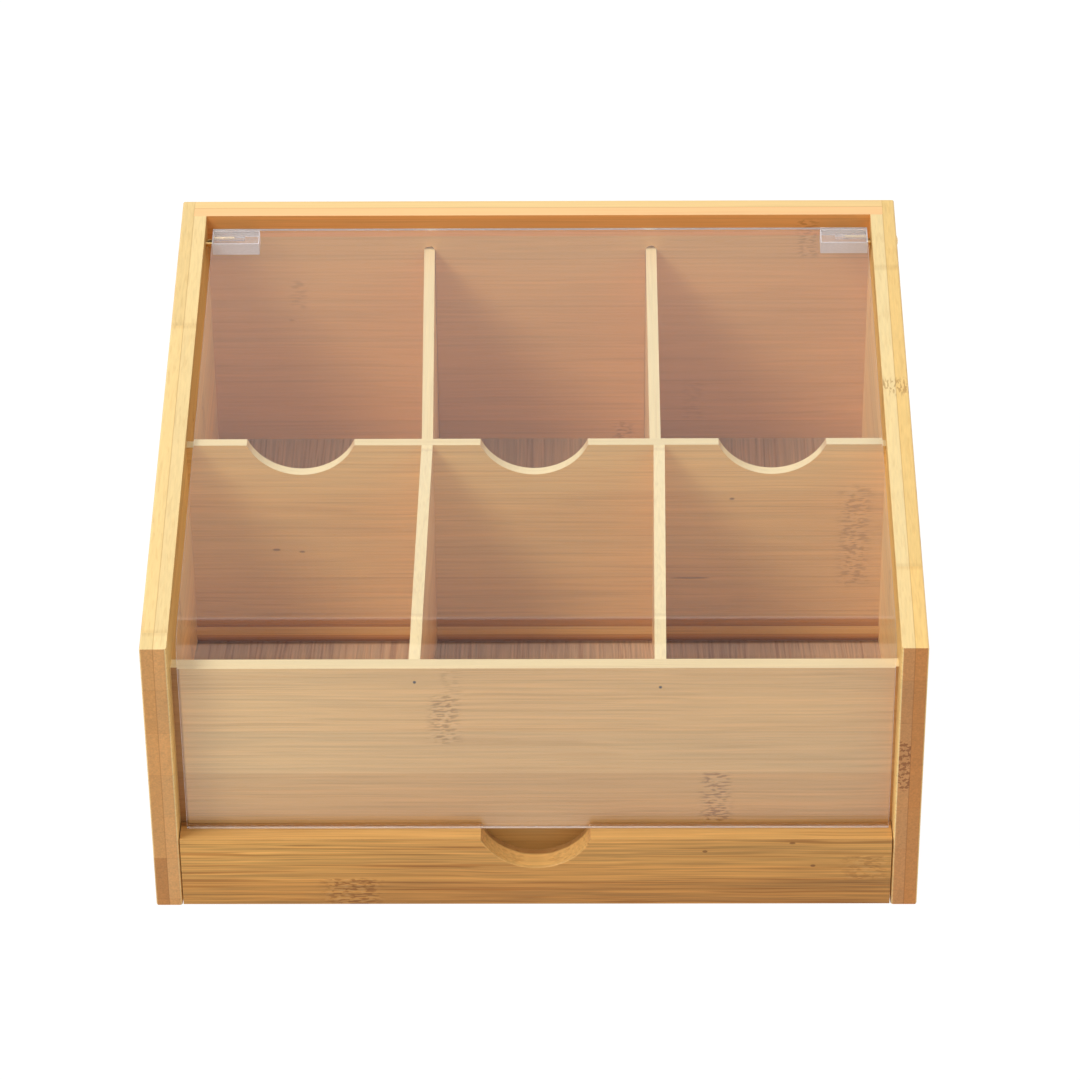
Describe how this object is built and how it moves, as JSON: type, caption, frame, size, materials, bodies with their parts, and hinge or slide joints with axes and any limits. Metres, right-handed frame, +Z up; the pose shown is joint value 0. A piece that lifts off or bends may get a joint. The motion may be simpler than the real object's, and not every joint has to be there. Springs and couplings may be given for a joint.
{
  "type": "tea bag drawer box",
  "caption": "Tabletop bamboo box with divided compartments under a hinged clear lid bent down over its front, and a sliding drawer with a thumb notch below.",
  "frame": {"origin": "middle of the underside, on the surface the box stands on", "axes": "+X to the box's right seen from the front, +Y from the drawer front to the back panel, +Z up"},
  "size_m": [0.2911, 0.265, 0.1519],
  "materials": {
    "bamboo_panel": "two-ply pressed bamboo, clear satin varnish",
    "bamboo_board": "thin pressed bamboo, clear satin varnish",
    "bamboo_drawer": "carbonised bamboo, clear satin varnish",
    "clear_acrylic": "clear, polished",
    "brass": "bright",
    "steel": "dull"
  },
  "bodies": {
    "case": {"left_side": "bamboo_panel", "right_side": "bamboo_panel", "back_panel": "bamboo_panel", "compartment_floor": "bamboo_board", "case_bottom": "bamboo_board", "front_panel": "bamboo_board", "cross_panel": "bamboo_board", "divider_rear_left": "bamboo_board", "divider_rear_right": "bamboo_board", "divider_front_left": "bamboo_board", "divider_front_right": "bamboo_board", "hinge_screw_left": "brass", "hinge_screw_right": "brass", "front_panel_nails": "steel"},
    "drawer": {"drawer_front": "bamboo_drawer", "drawer_inner_front": "bamboo_drawer", "drawer_left_side": "bamboo_drawer", "drawer_right_side": "bamboo_drawer", "drawer_back": "bamboo_drawer", "drawer_bottom": "bamboo_drawer"},
    "lid": {"lid": "clear_acrylic", "hinge_block_left": "clear_acrylic", "hinge_block_right": "clear_acrylic"}
  },
  "joints": [
    {"name": "drawer_slide", "type": "slide", "parent": "case", "child": "drawer", "axis": [0, -1, 0], "range_m": [0, 0.19]},
    {"name": "lid_hinge", "type": "hinge", "parent": "case", "child": "lid", "pos_m": [0, 0.11484, 0.14286], "axis": [-1, 0, 0], "range_deg": [0, 115]}
  ]
}
